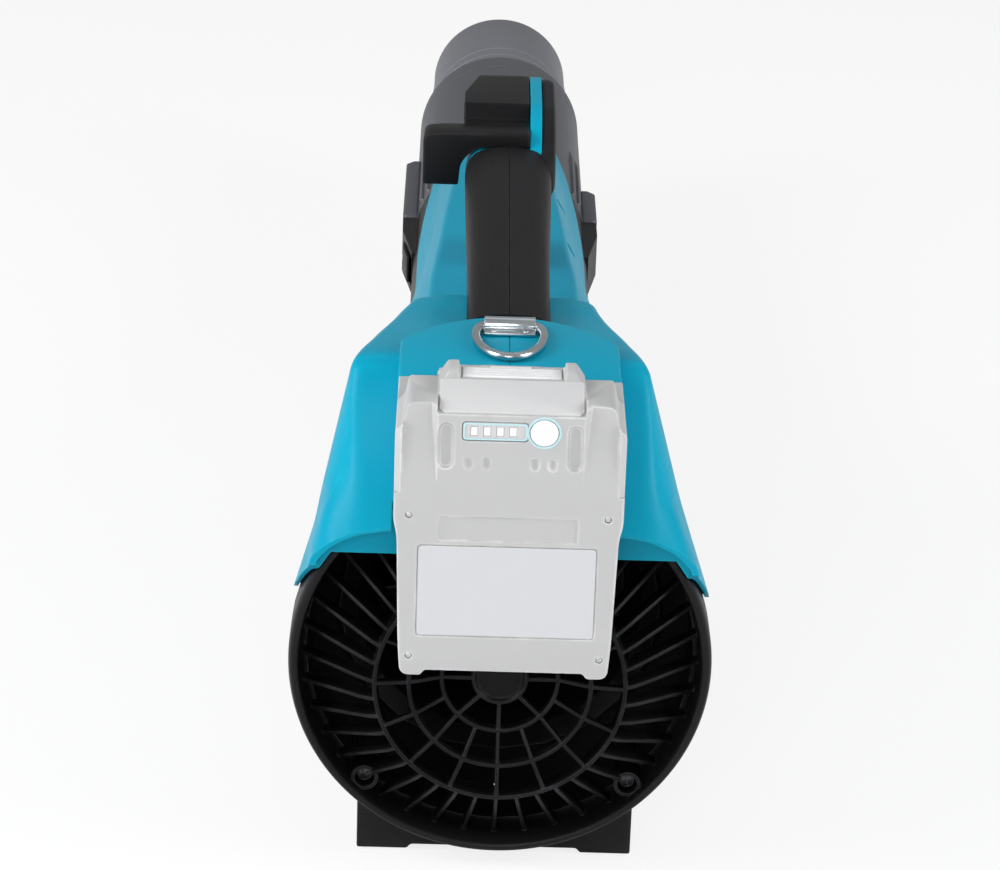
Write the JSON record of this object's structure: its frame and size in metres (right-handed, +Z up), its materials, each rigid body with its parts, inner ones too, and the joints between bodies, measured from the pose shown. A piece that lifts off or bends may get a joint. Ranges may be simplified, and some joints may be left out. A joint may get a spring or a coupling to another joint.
{
  "type": "handheld cordless axial leaf blower",
  "caption": "Handheld battery leaf blower: round grilled rear intake, coloured shell with a top D handle, skid stand and a straight telescopic nozzle.",
  "frame": {"origin": "bottom centre of the whole blower, on the floor under the skids", "axes": "+Y forward along the nozzle, away from the intake; +X to the right of the user who holds it; +Z up through the handle"},
  "size_m": [0.1714, 0.8626, 0.244],
  "materials": {
    "shell": "satin moulded blue-green",
    "elastomer": "matte soft grip",
    "black_plastic": "fine moulded texture",
    "pale_plastic": "satin pale grey",
    "gauge_window": "smooth smoke grey",
    "screw_steel": "dark zinc plated",
    "bearing_steel": "ground",
    "laminated_steel": "laminated sheet",
    "plated_steel": "bright plated",
    "copper": "enamelled wire",
    "brass": "stamped",
    "heat_sink": "cast, bead blasted",
    "cell_wrap": "shrink wrapped cells",
    "cable_rubber": "smooth sheath"
  },
  "bodies": {
    "base": {"housing_left": "shell", "housing_right": "shell", "grip_left": "elastomer", "grip_right": "elastomer", "duct_left": "black_plastic", "duct_right": "black_plastic", "intake_cover": "black_plastic", "cover_screw_1": "screw_steel", "cover_screw_2": "screw_steel", "cover_screw_3": "screw_steel", "cover_screw_4": "screw_steel", "stand": "black_plastic", "fan_shroud": "black_plastic", "tail_cone": "black_plastic", "stator": "laminated_steel", "stator_coils": "copper", "bearing_rear": "bearing_steel", "bearing_front": "bearing_steel", "latch_pin": "screw_steel", "lever_pin": "screw_steel", "trigger_pin": "screw_steel", "trigger_spring": "screw_steel", "switch_module": "black_plastic", "switch_lead": "cable_rubber", "dock_plate": "black_plastic", "terminal_block": "black_plastic", "terminal_left": "brass", "terminal_middle": "brass", "terminal_right": "brass", "controller": "heat_sink", "dring_bracket": "plated_steel", "housing_screw_1": "screw_steel", "housing_screw_2": "screw_steel", "housing_screw_3": "screw_steel", "housing_screw_4": "screw_steel"},
    "fan_set": {"fan": "black_plastic", "spinner": "black_plastic", "motor_shaft": "bearing_steel", "rotor": "laminated_steel"},
    "nozzle": {"nozzle_pipe": "black_plastic"},
    "tip": {"nozzle_tip": "black_plastic"},
    "latch": {"nozzle_latch": "black_plastic"},
    "lever": {"control_lever": "black_plastic"},
    "trigger": {"trigger": "black_plastic"},
    "battery": {"battery_case_rear": "pale_plastic", "battery_case_front": "pale_plastic", "battery_cells": "cell_wrap", "battery_holder": "black_plastic", "battery_gauge": "gauge_window"},
    "release": {"battery_release": "pale_plastic"},
    "gauge_key": {"gauge_button": "pale_plastic"},
    "hanging_ring": {"dring": "plated_steel"}
  },
  "joints": [
    {"name": "fan_spin", "type": "hinge", "parent": "base", "child": "fan_set", "pos_m": [0, -0.284, 0.092], "axis": [0, 1, 0], "continuous": true},
    {"name": "nozzle_turn", "type": "hinge", "parent": "base", "child": "nozzle", "pos_m": [0, 0.151, 0.092], "axis": [0, 1, 0], "range_deg": [0, 8]},
    {"name": "tip_slide", "type": "slide", "parent": "nozzle", "child": "tip", "axis": [0, 1, 0], "range_m": [-0.08, 0]},
    {"name": "latch_rock", "type": "hinge", "parent": "base", "child": "latch", "pos_m": [-0.0484, 0.124, 0.092], "axis": [0, 0, 1], "range_deg": [0, 2.2], "stiffness_Nm_per_rad": 0.4, "springref_deg": -1.15},
    {"name": "lever_swing", "type": "hinge", "parent": "base", "child": "lever", "pos_m": [0, -0.064, 0.217], "axis": [-1, 0, 0], "range_deg": [0, 35]},
    {"name": "trigger_squeeze", "type": "hinge", "parent": "base", "child": "trigger", "pos_m": [0, -0.103, 0.203], "axis": [-1, 0, 0], "range_deg": [0, 10], "stiffness_Nm_per_rad": 0.5, "springref_deg": -11.46},
    {"name": "battery_slide", "type": "slide", "parent": "base", "child": "battery", "axis": [0, 0, 1], "range_m": [0, 0.09]},
    {"name": "release_slide", "type": "slide", "parent": "battery", "child": "release", "axis": [0, -1, 0], "range_m": [0, 0.0019], "stiffness_N_per_m": 300, "springref_m": -0.003},
    {"name": "gauge_press", "type": "slide", "parent": "battery", "child": "gauge_key", "axis": [0, 1, 0], "range_m": [0, 0.0006], "stiffness_N_per_m": 150, "springref_m": -0.002},
    {"name": "ring_swing", "type": "hinge", "parent": "base", "child": "hanging_ring", "pos_m": [0, -0.3065, 0.22205], "axis": [-1, 0, 0], "range_deg": [0, 110]}
  ]
}
